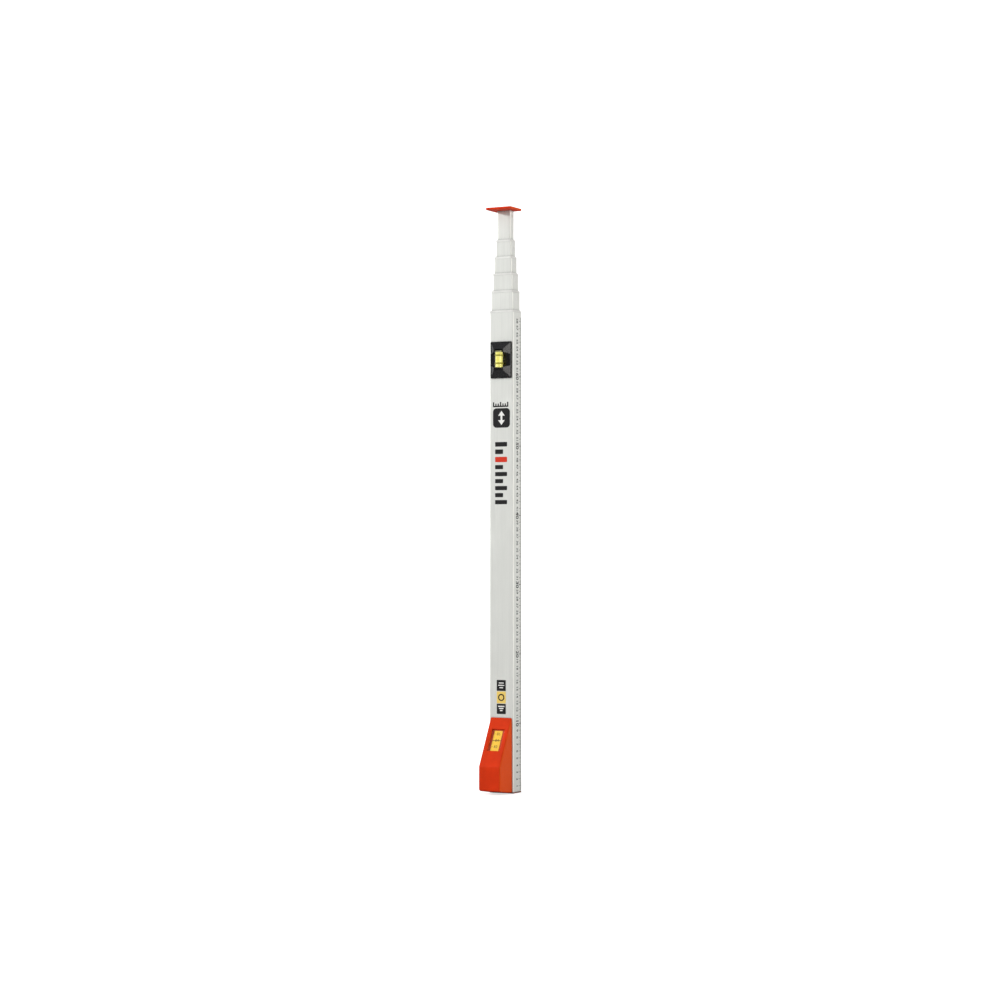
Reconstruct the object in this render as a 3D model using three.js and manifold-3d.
// Telescopic measuring rod: six nested rectangular aluminium tubes, a steel tape that runs
// from the top end plate down through every tube, round a pulley in the foot and past a
// reading window onto a sprung reel in a wedge-shaped plastic housing, and a tubular vial.
// Millimetres, +Z up along the rod, -Y is the front face, origin on the foot's bearing face
// at the rod's axis. The rod is modelled collapsed.
import * as THREE from "three";
import { mergeVertices } from "three/addons/utils/BufferGeometryUtils.js";
import Module from "manifold-3d";

const wasm = await Module();
wasm.setup();

// ---------------------------------------------------------------- driving dimensions
const TUBE_W = 39.4; // outermost tube, X
const TUBE_D = 25.6; // outermost tube, Y
const STEP_X = 3.4; // each tube is this much narrower than the one around it
const STEP_Y = 2.9; // and this much shallower
const WALL = 1.0;
const CORNER = 2.0;
const SECTIONS = 6;
const TRAVEL = 630; // of each sliding section
const TOTAL_H = 843; // collapsed, foot to top plate
const FOOT_T = 1.6;
const TUBE_TOPS = [692.4, 721.1, 746.3, 770.2, 794.6, 839.7]; // end of each bare tube
const LAST_TOP = TUBE_TOPS[SECTIONS - 1];
const COLLAR_T = 3.0; // head of each glide collar, with the gap under it

const PLUG_Z0 = 20; // underside of the first sliding plug
const PLUG_PITCH = 24;
const PLUG_H = 23.4;
const PLUG_HEAD = 5;
const PLUG_CORNER = 0.9;
const BUTTON_Z = 13.5; // above the plug's underside
const BUTTON_R = 1.8;
const PIP_R = 1.75;
const PIP_HOLE_R = 1.9;
const PIP_DROP = 8.5; // retaining pips below the tube end
const PIP_SUNK = 0.05; // pip end below the tube's outer face

const TAPE_W = 13.0;
const TAPE_T = 0.2;
const SLOT_W = 13.4; // tape slot through the plugs

const SCREW_X = 12.5; // foot and housing screws, either side of the axis
const FOOT_SCREW_Z = 10; // in the back wall
const HOUSING_SCREW_Z = 15.3; // in the front wall
const CLEARANCE_R = 1.45;
const PILOT_R = 1.15;

const VIAL_Z = 623.8;
const VIAL_PEG = 20; // holder's pegs above and below VIAL_Z

// Tubes, plugs and collars are numbered k = 1 (outermost) to SECTIONS.
const tubeWidth = (k) => TUBE_W - STEP_X * (k - 1);
const tubeDepth = (k) => TUBE_D - STEP_Y * (k - 1);
const tubeTop = (k) => TUBE_TOPS[k - 1];
const plugZ = (k) => PLUG_Z0 + PLUG_PITCH * (k - 2);
const buttonZ = (k) => plugZ(k) + BUTTON_Z;
const lockExtra = (k) => (k === 2 ? 0.9 : 0); // the first lock is this much longer

// ---------------------------------------------------------------- materials
const standard = (settings) => new THREE.MeshStandardMaterial(settings);
const MATERIALS = {
  aluminium: standard({ color: 0xdcdeda, roughness: 0.42, metalness: 0.65 }),
  glide: standard({ color: 0xe9e9e6, roughness: 0.5 }),
  orange: standard({ color: 0xd1441f, roughness: 0.42 }),
  black: standard({ color: 0x1b1a1e, roughness: 0.38 }),
  steel: standard({ color: 0xb9bcc0, roughness: 0.3, metalness: 1 }),
  spring: standard({ color: 0x8f9399, roughness: 0.35, metalness: 1 }),
  tape: standard({ color: 0xf0c13c, roughness: 0.45 }),
  clear: standard({ color: 0xf2f6f4, roughness: 0.08, transparent: true, opacity: 0.35 }),
  vial: standard({ color: 0xe6ea6a, roughness: 0.1, transparent: true, opacity: 0.6 }),
  natural: standard({ color: 0xd8d6cd, roughness: 0.55 }),
};

// ---------------------------------------------------------------- solids
// three geometry to Manifold, welded and without degenerate triangles
const solid = (geometry) => {
  const soup = geometry.index ? geometry.toNonIndexed() : geometry;
  const bare = new THREE.BufferGeometry();
  bare.setAttribute("position", soup.getAttribute("position"));
  const welded = mergeVertices(bare, 1e-4);
  const index = welded.index.array;
  const kept = [];
  for (let i = 0; i < index.length; i += 3) {
    const [a, b, c] = index.slice(i, i + 3);
    if (a !== b && b !== c && a !== c) kept.push(a, b, c);
  }
  return new wasm.Manifold(
    new wasm.Mesh({
      numProp: 3,
      vertProperties: welded.attributes.position.array,
      triVerts: new Uint32Array(kept),
    }),
  );
};
const add = (parent, name, piece, material) => {
  const { vertProperties, triVerts } = piece.getMesh();
  const geometry = new THREE.BufferGeometry()
    .setAttribute("position", new THREE.Float32BufferAttribute(vertProperties, 3))
    .setIndex(new THREE.Uint32BufferAttribute(triVerts, 1));
  geometry.computeVertexNormals();
  const mesh = new THREE.Mesh(geometry, material);
  mesh.name = name;
  parent.add(mesh);
};
const union = (...pieces) => pieces.reduce((a, b) => a.add(b));
const cut = (piece, ...tools) => tools.reduce((a, b) => a.subtract(b), piece);

// ---------------------------------------------------------------- spans and outlines
// A span is [from, to] along an axis.
const SIDES = [-1, 1];
const both = (half) => [-half, half];
const around = (middle, half) => [middle - half, middle + half];
const ordered = (a, b) => (a < b ? [a, b] : [b, a]);
const sideSpan = (side, near, far) => ordered(side * near, side * far);
const degrees = THREE.MathUtils.radToDeg;

const polygon = (points) =>
  new THREE.Shape(points.map(([x, y]) => new THREE.Vector2(x, y)));
// points round an arc, angles in degrees
const arc = ([x, y], r, from, to, steps) =>
  Array.from({ length: steps + 1 }, (_, i) => {
    const a = THREE.MathUtils.degToRad(from + ((to - from) * i) / steps);
    return [x + r * Math.cos(a), y + r * Math.sin(a)];
  });
const roundRect = ([w, d, r], steps = 3) => {
  const [x, y] = [w / 2 - r, d / 2 - r];
  return polygon([
    ...arc([x, y], r, 0, 90, steps),
    ...arc([-x, y], r, 90, 180, steps),
    ...arc([-x, -y], r, 180, 270, steps),
    ...arc([x, -y], r, 270, 360, steps),
  ]);
};
// [width, depth, corner] of a tube's outside and of its bore
const outsideRect = (k, gap = 0, corner = CORNER) => [
  tubeWidth(k) + gap,
  tubeDepth(k) + gap,
  corner,
];
const boreRect = (k, gap, corner) => outsideRect(k, -2 * WALL - gap, corner);

// an open line thickened to a closed outline
const ribbon = (line, thickness) => {
  const left = [];
  const right = [];
  line.forEach(([y, z], i) => {
    const [y0, z0] = line[Math.max(0, i - 1)];
    const [y1, z1] = line[Math.min(line.length - 1, i + 1)];
    const scale = thickness / 2 / Math.hypot(y1 - y0, z1 - z0);
    const [offY, offZ] = [-(z1 - z0) * scale, (y1 - y0) * scale];
    left.push([y + offY, z + offZ]);
    right.push([y - offY, z - offZ]);
  });
  return [...left, ...right.reverse()];
};

// ---------------------------------------------------------------- primitives
const extrude = (shape, [z0, z1], bevel = 0, bevelSegments = 0) =>
  new THREE.ExtrudeGeometry(shape, {
    depth: z1 - z0 - 2 * bevel,
    bevelEnabled: bevel > 0,
    bevelThickness: bevel,
    bevelSize: bevel,
    bevelOffset: -bevel,
    bevelSegments,
  }).translate(0, 0, z0 + bevel);
const prism = (rect, span) => solid(extrude(roundRect(rect), span));
const ring = (outerRect, innerRect, span) => {
  const shape = roundRect(outerRect);
  shape.holes.push(new THREE.Path(roundRect(innerRect).getPoints()));
  return solid(extrude(shape, span));
};
// a (y, z) outline extruded along X
const sideways = new THREE.Matrix4().makeBasis(
  new THREE.Vector3(0, 1, 0),
  new THREE.Vector3(0, 0, 1),
  new THREE.Vector3(1, 0, 0),
);
const prismX = (points, span, bevel, bevelSegments) =>
  solid(extrude(polygon(points), span, bevel, bevelSegments).applyMatrix4(sideways));
const box = ([x0, x1], [y0, y1], [z0, z1]) =>
  solid(
    new THREE.BoxGeometry(x1 - x0, y1 - y0, z1 - z0).translate(
      (x0 + x1) / 2,
      (y0 + y1) / 2,
      (z0 + z1) / 2,
    ),
  );
// a box whose [width, length] changes from z0 to z1
const frustum = (lower, upper, [z0, z1]) => {
  const geometry = new THREE.BoxGeometry(1, 1, 1);
  const p = geometry.getAttribute("position");
  for (let i = 0; i < p.count; i++) {
    const isUpper = p.getZ(i) > 0;
    const [w, l] = isUpper ? upper : lower;
    p.setXYZ(i, p.getX(i) * w, p.getY(i) * l, isUpper ? z1 : z0);
  }
  return geometry;
};
// along an axis, placed at the two other coordinates in x, y, z order
const cone = (axis, [r0, r1], [a0, a1], [u, v], segments = 16) => {
  const middle = (a0 + a1) / 2;
  const g = new THREE.CylinderGeometry(r1, r0, a1 - a0, segments, 1); // along +Y
  if (axis === "x") g.rotateZ(-Math.PI / 2).translate(middle, u, v);
  if (axis === "y") g.translate(u, middle, v);
  if (axis === "z") g.rotateX(Math.PI / 2).translate(u, v, middle);
  return solid(g);
};
const cyl = (axis, r, span, at, segments) => cone(axis, [r, r], span, at, segments);

// pegs and holes along X in one side of a tube, on its centre plane
const sideCyl = (side, r, near, far, z) =>
  cyl("x", r, sideSpan(side, near, far), [0, z], 14);
const sideHole = (side, r, z) => sideCyl(side, r, 5, 40, z);
const pip = (side, k, near, z) =>
  sideCyl(side, PIP_R, near, tubeWidth(k) / 2 - PIP_SUNK, z);
// the pair of screw holes through a front or back wall
const screwPair = (r, span, z) => SIDES.map((s) => cyl("y", r, span, [s * SCREW_X, z], 12));

// slot is [half length, half width] of each arm of the cross
const crossScrew = (axis, at, { head, headSpan, shank, shankSpan, slot, slotSpan }) => {
  const arms = [slot, [...slot].reverse()].map(([halfU, halfV]) => {
    const spans = [around(at[0], halfU), around(at[1], halfV)];
    spans.splice("xyz".indexOf(axis), 0, slotSpan);
    return box(...spans);
  });
  const body = union(cone(axis, head, headSpan, at), cyl(axis, shank, shankSpan, at, 12));
  return cut(body, ...arms);
};

const root = new THREE.Group();

// ---------------------------------------------------------------- tubes
function tube(k, z0) {
  const bore = boreRect(k, 0, CORNER - WALL);
  const holes = SIDES.map((side) => sideHole(side, PIP_HOLE_R, tubeTop(k) - PIP_DROP));
  if (k < SECTIONS) {
    // the next section's button, collapsed and extended
    const z = buttonZ(k + 1);
    holes.push(sideHole(-1, BUTTON_R + 0.3, z), sideHole(-1, BUTTON_R + 0.3, z + TRAVEL));
  }
  if (k > 1) {
    // this section's own button and plug pip
    holes.push(sideHole(-1, BUTTON_R + 0.2, buttonZ(k)), sideHole(1, PIP_HOLE_R, buttonZ(k)));
  }
  return cut(ring(outsideRect(k), bore, [z0, tubeTop(k)]), ...holes);
}

const frontWall = [-15, -10];
const backWall = [10, 15];
const outerTube = cut(
  tube(1, FOOT_T + 0.1),
  box(both(8.1), frontWall, [0, 18.0]), // pulley opening
  box(both(5), frontWall, [100, 102.7]), // slot for the housing's tongue
  ...screwPair(CLEARANCE_R, frontWall, HOUSING_SCREW_Z),
  ...screwPair(CLEARANCE_R, backWall, FOOT_SCREW_Z),
  ...SIDES.map((s) => cyl("y", 1.6, frontWall, [0, VIAL_Z + s * VIAL_PEG], 12)),
);
add(root, "outer_tube", outerTube, MATERIALS.aluminium);

// Collar k is held in the end of tube k and guides tube k + 1.
function collar(k) {
  const top = tubeTop(k);
  const stop = plugZ(k + 1) + PLUG_HEAD + TRAVEL + 0.3; // the extended plug's head stops here
  const skirtRect = boreRect(k, 0.1, 0.95);
  const bore = (corner) => outsideRect(k + 1, 0.3, corner);
  return cut(
    union(
      ring(skirtRect, bore(0.85), [stop, top + 0.3]),
      ring(outsideRect(k), bore(CORNER + 0.1), [top + 0.1, top + COLLAR_T]),
      ...SIDES.map((side) => pip(side, k, skirtRect[0] / 2 - 0.3, top - PIP_DROP)),
    ),
    // run-in for the lock button
    box(
      [-40, -bore()[0] / 2 + 2],
      both(2.3),
      [stop - 1, buttonZ(k + 1) + TRAVEL + 2.6],
    ),
  );
}

// ---------------------------------------------------------------- sliding plugs and locks
// Drawn from the plug's underside at z = 0, with the lock on the -X side.
function plug(k) {
  const tubeSide = -tubeWidth(k) / 2;
  return cut(
    union(
      prism(boreRect(k - 1, 0.3, PLUG_CORNER), [0, PLUG_HEAD]),
      prism(boreRect(k, 0.2, PLUG_CORNER), [PLUG_HEAD - 0.5, PLUG_H]),
      pip(1, k, tubeWidth(k) / 2 - WALL - 0.6, BUTTON_Z),
    ),
    box(both(SLOT_W / 2), both(0.8), [-1, PLUG_H + 1]),
    box([tubeSide - 1, tubeSide + 3.75 + lockExtra(k)], both(2.15), [6, 20.2]),
  );
}

function button(k) {
  const tubeSide = -tubeWidth(k) / 2;
  const tipEnd = tubeSide + 0.15;
  const flange = tubeSide + 2.75 + lockExtra(k);
  const at = [0, BUTTON_Z];
  return union(
    cyl("x", BUTTON_R, [tipEnd, flange + 0.15], at),
    cone("x", [BUTTON_R - 0.45, BUTTON_R], [tipEnd - 0.5, tipEnd], at),
    box([flange, flange + 0.4], both(1.95), around(BUTTON_Z, 2.9)),
  );
}

// (x from the tube's -X face, z) round the leaf's edge
const LEAF = [
  [3.4, 6.1], [3.7, 6.1], [3.7, 8.5], [3.52, 11],
  [3.52, 19], [3.22, 19], [3.22, 11], [3.4, 8.5],
];
function leafSpring(k) {
  const x0 = -tubeWidth(k) / 2 + lockExtra(k);
  const outline = polygon(LEAF.map(([x, z]) => [x0 + x, z]));
  // stand the outline up, its thickness along Y
  return solid(extrude(outline, both(1.7)).rotateX(Math.PI / 2));
}

add(root, "glide_collar_1", collar(1), MATERIALS.glide);
let innermost = root;
for (let k = 2; k <= SECTIONS; k++) {
  // each sliding section is nested in the one around it
  const section = new THREE.Group();
  section.name = `section_${k}`;
  innermost.add(section);
  innermost = section;
  const low = new THREE.Group();
  low.position.z = plugZ(k);
  section.add(low);
  const sectionTube = tube(k, plugZ(k) + PLUG_HEAD + 0.1);
  add(section, `section_${k}_tube`, sectionTube, MATERIALS.aluminium);
  if (k < SECTIONS) add(section, `glide_collar_${k}`, collar(k), MATERIALS.glide);
  add(low, `section_${k}_plug`, plug(k), MATERIALS.natural);
  add(low, `lock_spring_${k}`, leafSpring(k), MATERIALS.spring);
  add(low, `lock_button_${k}`, button(k), MATERIALS.steel);
}

// ---------------------------------------------------------------- top end
const PLATE = { w: 41.5, d: 35, t: 3.2, y: -5.5, corner: 2.6, edge: 0.8 }; // forward of the tubes
const PLATE_Z = TOTAL_H - PLATE.t;
const PLATE_SCREW_X = 5.6;
const TAPE_PIN_Z = LAST_TOP - 12.5;

const plateBlank = extrude(
  roundRect([PLATE.w, PLATE.d, PLATE.corner], 4),
  [PLATE_Z, TOTAL_H],
  PLATE.edge,
  3,
).translate(0, PLATE.y, 0);
const plateHoles = SIDES.flatMap((side) => {
  const at = [side * PLATE_SCREW_X, 0];
  return [
    cyl("z", CLEARANCE_R, [PLATE_Z - 1, TOTAL_H + 1], at),
    cone("z", [CLEARANCE_R, 2.75], [TOTAL_H - 1.9, TOTAL_H - 0.5], at, 20),
    cyl("z", 2.75, [TOTAL_H - 0.6, TOTAL_H + 1], at),
  ];
});
add(innermost, "top_plate", cut(solid(plateBlank), ...plateHoles), MATERIALS.orange);

const endPlug = cut(
  union(
    prism(boreRect(SECTIONS, 0.2, PLUG_CORNER), [LAST_TOP - 17, LAST_TOP - 0.1]),
    ...SIDES.map((side) => pip(side, SECTIONS, 8, LAST_TOP - PIP_DROP)),
  ),
  box(both(SLOT_W / 2), both(0.3), [LAST_TOP - 18, LAST_TOP - 7.5]),
  cyl("y", PILOT_R, both(5), [0, TAPE_PIN_Z], 12),
  ...SIDES.map((side) =>
    cyl("z", PILOT_R, [LAST_TOP - 6.4, LAST_TOP + 1], [side * PLATE_SCREW_X, 0], 12),
  ),
);
add(innermost, "end_plug", endPlug, MATERIALS.natural);

SIDES.forEach((side, i) => {
  const screw = crossScrew("z", [side * PLATE_SCREW_X, 0], {
    head: [1.02, 2.45],
    headSpan: [TOTAL_H - 2.1, TOTAL_H - 0.62],
    shank: 1.02,
    shankSpan: [LAST_TOP - 6, TOTAL_H - 1.9],
    slot: [1.3, 0.25],
    slotSpan: [TOTAL_H - 1.3, TOTAL_H],
  });
  add(innermost, `top_plate_screw_${i + 1}`, screw, MATERIALS.steel);
});

const tapePin = cyl("y", 1.0, both(2.6), [0, TAPE_PIN_Z], 12);
add(innermost, "tape_end_pin", tapePin, MATERIALS.steel);

const tapeBlade = cut(
  box(both(TAPE_W / 2), both(TAPE_T / 2), [18.9, LAST_TOP - 8]),
  cyl("y", 1.1, both(1), [0, TAPE_PIN_Z], 12),
);
add(innermost, "tape_blade", tapeBlade, MATERIALS.tape);

// ---------------------------------------------------------------- foot
const PULLEY_AT = [-6.825, 10.2]; // y, z
const PULLEY_R = 6.625;
const PULLEY_BORE_R = 1.6;

// a base plate with a block either side of the pulley
const foot = cut(
  union(
    prism(outsideRect(1), [0, FOOT_T]),
    cut(
      prism([TUBE_W - 2.2, TUBE_D - 2.3, 1.1], [FOOT_T - 0.5, 19]),
      box(both(8.2), both(20), [0, 30]),
    ),
  ),
  cyl("x", PULLEY_BORE_R, both(15.6), PULLEY_AT),
  ...screwPair(PILOT_R, [-12.05, -4.4], HOUSING_SCREW_Z),
  ...screwPair(PILOT_R, [4.4, 12.05], FOOT_SCREW_Z),
);
add(root, "foot", foot, MATERIALS.orange);

// pan head seated at y = seat and standing out along facing (+1 or -1 in Y)
function panScrew(x, z, facing, seat) {
  const tip = seat + facing * 1.2;
  return crossScrew("y", [x, z], {
    head: facing > 0 ? [2.5, 2.0] : [2.0, 2.5],
    headSpan: ordered(seat, tip),
    shank: 1.02,
    shankSpan: ordered(seat, seat - facing * 7.6),
    slot: [1.2, 0.25],
    slotSpan: ordered(tip - facing * 0.6, tip + facing * 0.1),
  });
}
SIDES.forEach((side, i) => {
  const x = side * SCREW_X;
  const footScrew = panScrew(x, FOOT_SCREW_Z, 1, 12.9);
  const housingScrew = panScrew(x, HOUSING_SCREW_Z, -1, -14.2);
  add(root, `foot_screw_${i + 1}`, footScrew, MATERIALS.steel);
  add(root, `housing_screw_${i + 1}`, housingScrew, MATERIALS.steel);
});

// ---------------------------------------------------------------- tape path, in (y, z)
const SLOPE_TOP = [-13.8, 108.5]; // top of the housing's sloping face
const SLOPE_KNEE = [-49.8, 40.5]; // where it turns vertical
const REEL_AT = [-31.55, 23.8];
const REEL_R = 15.6;
const COIL_R = 14.3;
const WIND_R = COIL_R + 0.25; // tape centre line as it meets the coil
const TAPE_DEPTH = 3.1; // tape below the sloping face
const UPPER_NOSE_R = 3.25; // tape centre line over the guide's ends
const LOWER_NOSE_R = 3.0;
const WINDOW_RUN = 37.5; // straight run between the noses

const down = new THREE.Vector2(
  SLOPE_KNEE[0] - SLOPE_TOP[0],
  SLOPE_KNEE[1] - SLOPE_TOP[1],
).normalize(); // down the sloping face
const out = new THREE.Vector2(down.y, -down.x); // its outward normal
const outAngle = degrees(Math.atan2(out.y, out.x));
// a point moved down the slope and outward from it
const shift = ([y, z], along, outward) => [
  y + down.x * along + out.x * outward,
  z + down.y * along + out.y * outward,
];

const upperNose = (() => {
  // the tape climbs straight up from the pulley's front
  const y = 2 * PULLEY_AT[0] - UPPER_NOSE_R;
  const inset = -(UPPER_NOSE_R + TAPE_DEPTH);
  return [y, SLOPE_TOP[1] + (inset - (y - SLOPE_TOP[0]) * out.x) / out.y];
})();
const lowerNose = shift(upperNose, WINDOW_RUN, UPPER_NOSE_R - LOWER_NOSE_R);

// where the tangent from the lower nose meets the coil
const reelY = REEL_AT[0] - lowerNose[0];
const reelZ = REEL_AT[1] - lowerNose[1];
const tangentAngle = degrees(
  Math.atan2(reelZ, reelY) +
    2 * Math.PI -
    Math.acos((LOWER_NOSE_R - WIND_R) / Math.hypot(reelY, reelZ)),
);
const tapePath = [
  [0, 18.6],
  ...arc(PULLEY_AT, -PULLEY_AT[0], 0, -180, 16),
  ...arc(upperNose, UPPER_NOSE_R, 0, outAngle, 10),
  ...arc(lowerNose, LOWER_NOSE_R, outAngle, tangentAngle, 2),
  ...arc(REEL_AT, WIND_R, tangentAngle, tangentAngle + 70, 7),
];
const lowerRun = prismX(ribbon(tapePath, TAPE_T), both(TAPE_W / 2));
add(root, "tape_lower_run", lowerRun, MATERIALS.tape);

// a fixed guide carries the tape flat behind the window
function tapeGuide() {
  const [upperR, lowerR] = [UPPER_NOSE_R - 0.2, LOWER_NOSE_R - 0.2];
  const dy = lowerNose[0] - upperNose[0];
  const dz = lowerNose[1] - upperNose[1];
  const base = degrees(Math.atan2(dz, dy));
  const spread = degrees(Math.acos((upperR - lowerR) / Math.hypot(dy, dz)));
  const hull = [
    ...arc(upperNose, upperR, base + spread, base + 360 - spread, 12),
    ...arc(lowerNose, lowerR, base - spread, base + spread, 8),
  ];
  const middle = [upperNose[0] + dy / 2, upperNose[1] + dz / 2];
  // the cross arm's corners: down the slope, outward
  const arm = [
    [-4, -2.4],
    [4, -2.4],
    [4, 0.2],
    [-4, 0.2],
  ].map(([along, outward]) => shift(middle, along, outward));
  return union(prismX(hull, both(6.6)), prismX(arm, both(15.1)));
}
add(root, "tape_guide", tapeGuide(), MATERIALS.black);

// ---------------------------------------------------------------- pulley
const pulley = cut(
  union(
    cyl("x", PULLEY_R, both(6.9), PULLEY_AT, 24),
    ...SIDES.map((side) => cyl("x", 7.5, sideSpan(side, 6.8, 7.6), PULLEY_AT, 24)),
  ),
  cyl("x", PULLEY_BORE_R, both(9), PULLEY_AT),
);
add(root, "pulley", pulley, MATERIALS.natural);
add(root, "pulley_pin", cyl("x", 1.5, both(15.4), PULLEY_AT), MATERIALS.steel);

// ---------------------------------------------------------------- reel
// (radius, position along the axle), outer walls rising so the lathe faces outward
const DRUM = [
  [2.1, 3], [3.3, 3], [3.3, 6.8], [8.9, 6.8], [8.9, -7.8],
  [REEL_R, -7.8], [REEL_R, -6.8], [10, -6.8], [10, 6.8],
  [REEL_R, 6.8], [REEL_R, 7.8], [2.1, 7.8], [2.1, 3],
];
const drumProfile = DRUM.map(([r, a]) => new THREE.Vector2(r, a));
const drum = solid(new THREE.LatheGeometry(drumProfile, 28))
  .rotate([0, 0, -90]) // axis Y onto X
  .translate([0, ...REEL_AT]);
add(root, "reel_drum", drum, MATERIALS.black);

const coil = cut(
  cyl("x", COIL_R, both(6.5), REEL_AT, 32),
  cyl("x", 10.15, both(7), REEL_AT, 28),
);
add(root, "tape_coil", coil, MATERIALS.tape);
add(root, "reel_axle", cyl("x", 2.0, both(14.9), REEL_AT, 20), MATERIALS.steel);

const SPIRAL = { steps: 60, turns: 5, innerR: 2.45, growth: 5.9, thickness: 0.3 };
const spiral = Array.from({ length: SPIRAL.steps + 1 }, (_, i) => {
  const t = i / SPIRAL.steps;
  const a = t * Math.PI * 2 * SPIRAL.turns;
  const r = SPIRAL.innerR + t * SPIRAL.growth;
  return [REEL_AT[0] + r * Math.cos(a), REEL_AT[1] + r * Math.sin(a)];
});
const reelSpring = prismX(ribbon(spiral, SPIRAL.thickness), [-6.6, 2.6]);
add(root, "reel_spring", reelSpring, MATERIALS.spring);

// ---------------------------------------------------------------- housing
const HOUSING_W = 34.5;
const HOUSING_BACK = -12.9; // y
const KNEE_R = 6;
const EDGE_R = 2.0;
const SLOPE_WALL = 2; // under the sloping face
const SPLIT_X = -HOUSING_W / 2 + 2.1; // the shell starts here, the side cover is beyond
const RIGHT_X = HOUSING_W / 2 - 2.0; // inner face of the +X wall
const WINDOW = { w: 19.6, l: 33.2, z: 77.7 }; // wider than the tape
// window rim: margin beside the opening, margin above and below it, depth
const RIM = [
  [0, 0, 2.6],
  [0.5, 0.25, 0.7],
  [1.7, 0.7, 0],
];
// cover screws: y, z, radius of the post
const COVER_SCREWS = [
  [-45.05, 39.4, 2.2],
  [-18.25, 7.6, 2.2],
  [-15.95, 97.0, 2.0],
];
const BOSS_R = 4.2; // round the reel's axle
const BOSS_BORE_R = 2.06;

// The wedge is drawn past its back and trimmed, so that its back edges stay sharp.
const overrunY = HOUSING_BACK + 3;
const wedge = [
  [overrunY, 0.3],
  [HOUSING_BACK, 0.3],
  [-47.05, 5.1],
  [-48.95, 6.2],
  [-49.8, 8.2],
  ...arc([SLOPE_KNEE[0] + KNEE_R, SLOPE_KNEE[1] - 1.54], KNEE_R, 180, outAngle, 5),
  SLOPE_TOP,
  [overrunY, SLOPE_TOP[1]],
];
const blank = cut(
  prismX(wedge, both(HOUSING_W / 2), EDGE_R, 5),
  box(both(30), [HOUSING_BACK, 10], [-10, 130]),
);
const blankWithin = (span) => blank.intersect(box(span, [-60, 10], [-10, 130]));

const underSlope = (y) => {
  const [y0, z0] = shift(SLOPE_TOP, 0, -SLOPE_WALL);
  return z0 + ((y - y0) * down.y) / down.x;
};
const cavity = [
  [-14.1, 2.6],
  [-47.8, 7.6],
  [-47.8, underSlope(-47.8)],
  [-14.1, underSlope(-14.1)],
];

// window frame: local x = X, local y = up the slope, local z = outward
const windowAt = shift(SLOPE_TOP, (WINDOW.z - SLOPE_TOP[1]) / down.y, 0);
const windowFrame = new THREE.Matrix4()
  .makeBasis(
    new THREE.Vector3(1, 0, 0),
    new THREE.Vector3(0, -down.x, -down.y),
    new THREE.Vector3(0, out.x, out.y),
  )
  .setPosition(0, ...windowAt);
const inWindow = (geometry) => solid(geometry.applyMatrix4(windowFrame));
const windowRect = (margin, corner) => [WINDOW.w + margin, WINDOW.l + margin, corner];

// each step of the rim widens outward and is carried on past the face
const RIM_OVERRUN = 0.5;
const flares = RIM.slice(1).map(([x1, y1, depth1], i) => {
  const [x0, y0, depth0] = RIM[i];
  const reach = (depth0 + RIM_OVERRUN) / (depth0 - depth1);
  const size = (x, y) => [WINDOW.w + 2 * x, WINDOW.l + 2 * y];
  const upper = size(x0 + (x1 - x0) * reach, y0 + (y1 - y0) * reach);
  return inWindow(frustum(size(x0, y0), upper, [-depth0, RIM_OVERRUN]));
});

const atReel = (r, span) => cyl("x", r, span, REEL_AT, 20);
const tongue = box(both(4.8), [-13.45, -11.95], [100.15, 102.5]);

function housingShell() {
  const hollow = cut(
    blankWithin([SPLIT_X, 30]),
    prismX(cavity, [-30, RIGHT_X]),
    box(both(8.2), [-15.05, -12.05], [2.6, 96]), // tape opening in the back wall
  );
  const fitted = union(
    hollow,
    atReel(BOSS_R, [8.7, RIGHT_X + 0.5]),
    ...COVER_SCREWS.map(([y, z, r]) => cyl("x", r, [SPLIT_X, RIGHT_X + 0.5], [y, z])),
    tongue,
  );
  const drilled = cut(
    fitted,
    inWindow(extrude(roundRect(windowRect(0, 1.0)), both(4))),
    ...flares,
    atReel(BOSS_BORE_R, [8, RIGHT_X - 0.1]),
    ...COVER_SCREWS.map(([y, z]) => cyl("x", 1.12, [SPLIT_X - 1, SPLIT_X + 8.4], [y, z], 12)),
    ...screwPair(CLEARANCE_R, [-15.55, -12.05], HOUSING_SCREW_Z),
  );
  // keep the posts inside the wedge
  return drilled.intersect(union(blank, tongue));
}
add(root, "housing_shell", housingShell(), MATERIALS.orange);

const sideCover = cut(
  union(blankWithin([-30, SPLIT_X - 0.1]), atReel(BOSS_R, [SPLIT_X - 0.6, -8.7])),
  atReel(BOSS_BORE_R, [SPLIT_X - 0.05, -8]),
  ...COVER_SCREWS.flatMap(([y, z]) => [
    cyl("x", 1.25, [-30, 0], [y, z], 12),
    cyl("x", 2.2, [-30, -HOUSING_W / 2 + 1.1], [y, z]),
  ]),
);
add(root, "housing_side_cover", sideCover, MATERIALS.orange);

COVER_SCREWS.forEach(([y, z], i) => {
  const x0 = -HOUSING_W / 2 + 0.12; // outer face of the head
  const screw = crossScrew("x", [y, z], {
    head: [1.9, 2.0],
    headSpan: [x0, x0 + 0.9],
    shank: 1.0,
    shankSpan: [x0 + 0.8, x0 + 8.8],
    slot: [1.1, 0.22],
    slotSpan: [x0 - 1, x0 + 0.5],
  });
  add(root, `cover_screw_${i + 1}`, screw, MATERIALS.steel);
});

const lens = inWindow(extrude(roundRect(windowRect(3.0, 1.4)), [-2.78, -2.06]));
add(root, "window_lens", lens, MATERIALS.clear);

// ---------------------------------------------------------------- vial
const VIAL = { r: 6.1, l: 24.9, z: 6.8, y: 0.2 };
const VIAL_BORE_R = VIAL.r - 0.9;
const VIAL_FILL_R = VIAL_BORE_R - 0.1;
const VIAL_SEAT_R = VIAL.r + 0.2;
const VIAL_END = VIAL.l / 2;

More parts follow.
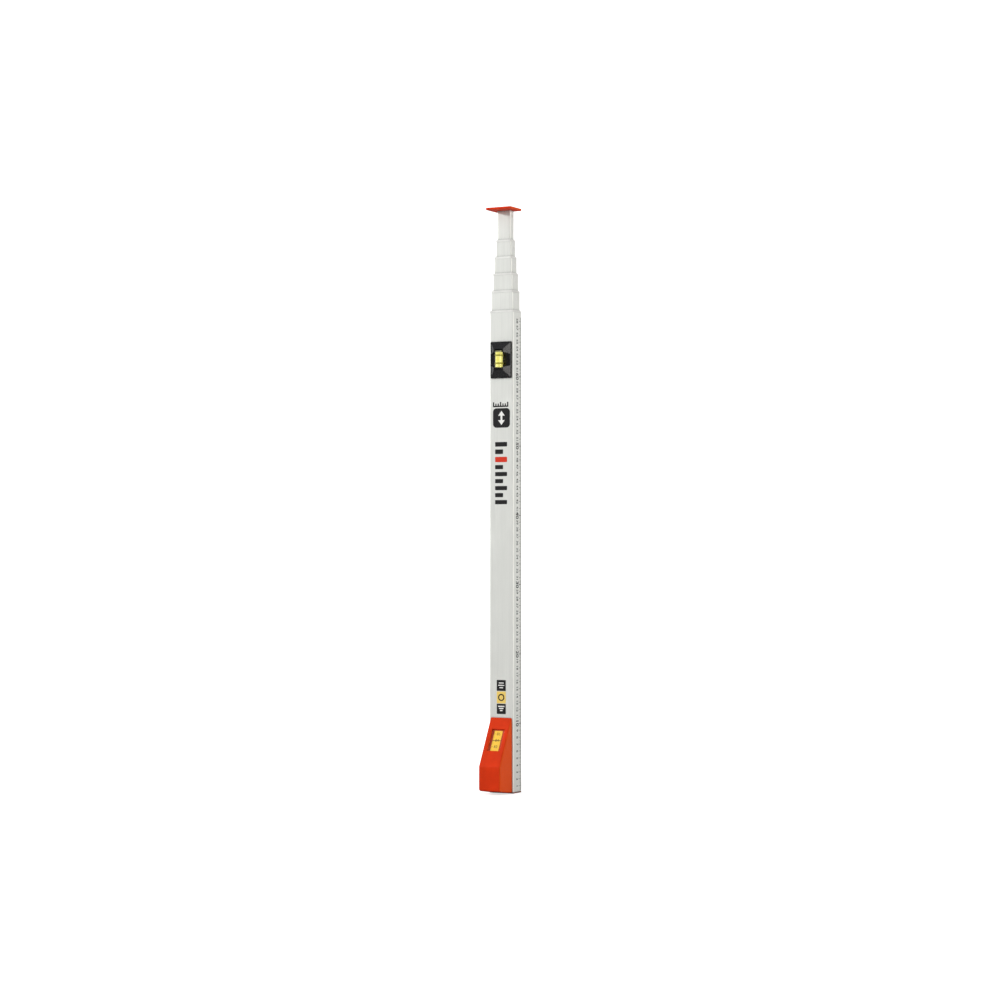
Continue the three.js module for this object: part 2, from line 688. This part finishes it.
const vialMount = new THREE.Group();
vialMount.position.set(0, -TUBE_D / 2, VIAL_Z);
vialMount.rotation.x = Math.PI / 2; // local z out of the front face, local y up
root.add(vialMount);
const alongVial = (r, span, segments) => cyl("y", r, span, [0, VIAL.z], segments);

function vialHolder() {
  // the recess beside the raised middle, on one side
  const recess = (side) =>
    solid(
      extrude(
        polygon([
          [side * 4, -12.2],
          [side * 17.6, -7.6],
          [side * 17.6, 7.6],
          [side * 4, 12.2],
        ]),
        [1.9, 12],
      ),
    );
  const pocket = extrude(roundRect([2 * VIAL_SEAT_R, 29.2, 2.2]), [-1, 13]);
  // round below the vial's axis, open above it
  const seat = union(
    alongVial(VIAL_SEAT_R, both(20), 28),
    box(both(VIAL_SEAT_R), both(20), [VIAL.z, 12]),
  ).intersect(solid(pocket.translate(0, 0.3, 0)));
  return cut(
    union(
      prism([34.0, 52.3, 1.2], [0.1, 1.4]),
      solid(frustum([32.6, 51.0], [15.6, 31], [1.0, 9.4])),
      ...SIDES.map((s) => cyl("z", 1.45, [-0.9, 0.6], [0, s * VIAL_PEG], 12)),
    ),
    seat,
    ...SIDES.map(recess),
  );
}
add(vialMount, "vial_holder", vialHolder(), MATERIALS.black);

const vialCell = new THREE.Group();
vialCell.position.set(0, VIAL.y, 0);
vialMount.add(vialCell);

const vialTube = cut(
  alongVial(VIAL.r, both(VIAL_END), 28),
  alongVial(VIAL_BORE_R, [-VIAL_END + 1.5, VIAL_END + 1], 24),
);
add(vialCell, "vial_tube", vialTube, MATERIALS.clear);

const vialPlug = alongVial(VIAL_FILL_R, [VIAL_END - 2.1, VIAL_END - 0.1], 24);
add(vialCell, "vial_plug", vialPlug, MATERIALS.clear);

const bubble = new THREE.SphereGeometry(1, 16, 10)
  .scale(2.9, 4.2, 2.3)
  .translate(0, 0, VIAL.z + 4.3);
const liquid = cut(
  alongVial(VIAL_FILL_R, [-VIAL_END + 1.6, VIAL_END - 2.2], 24),
  solid(bubble),
);
add(vialCell, "vial_liquid", liquid, MATERIALS.vial);

export default root;
